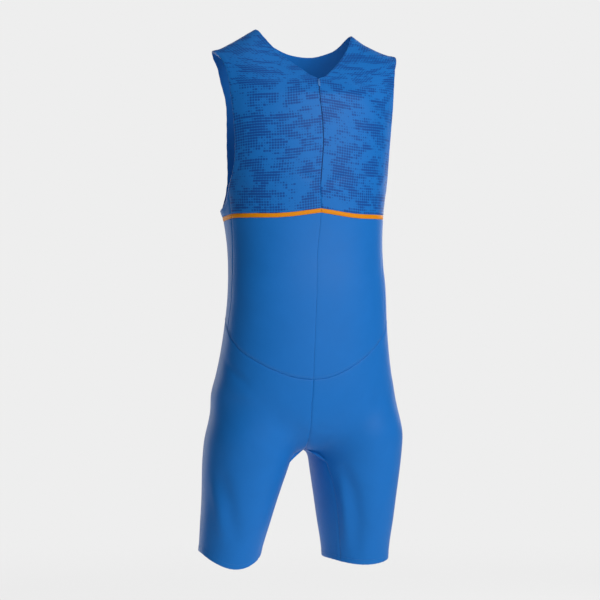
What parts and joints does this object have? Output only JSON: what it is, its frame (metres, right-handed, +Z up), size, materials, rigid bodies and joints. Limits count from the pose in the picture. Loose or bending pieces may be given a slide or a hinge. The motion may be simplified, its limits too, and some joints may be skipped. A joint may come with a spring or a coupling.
{
  "type": "sleeveless athletics bodysuit",
  "caption": "Sleeveless close-fitting sports bodysuit with knee-length legs, a short front zip, a contrast band under the chest and a curved waist seam, in its worn form.",
  "frame": {"origin": "midway between the tops of the shoulders at the neck, where the wearer's shoulders hold the garment up", "axes": "+Z up, the front faces -Y, the wearer's left is +X"},
  "size_m": [0.3572, 0.2277, 0.93],
  "materials": {
    "printed_knit": "warp-knitted polyamide and elastane, blue with a darker dotted print, faint sheen",
    "plain_knit": "warp-knitted polyamide and elastane, plain blue, faint sheen",
    "orange_knit": "warp-knitted polyamide and elastane, plain orange, faint sheen",
    "zip_tape": "woven polyester zip tape, blue, matt",
    "lacquered_zinc": "die-cast zinc with a blue lacquer, half gloss"
  },
  "bodies": {
    "garment": {"chest_right": "printed_knit", "chest_left": "printed_knit", "back_upper": "plain_knit", "band_right": "orange_knit", "band_left": "orange_knit", "band_back": "orange_knit", "midriff_right": "plain_knit", "midriff_left": "plain_knit", "back_lower": "plain_knit", "leg_right": "plain_knit", "leg_left": "plain_knit", "zip_tape": "zip_tape", "zip_slider": "lacquered_zinc"},
    "zip_pull": {"zip_pull": "lacquered_zinc"}
  },
  "joints": [
    {"name": "pull_hinge", "type": "hinge", "parent": "garment", "child": "zip_pull", "pos_m": [-0.00102, -0.08672, -0.0928], "axis": [-0.9959, 0.0287, 0.0853], "range_deg": [0, 160]}
  ]
}
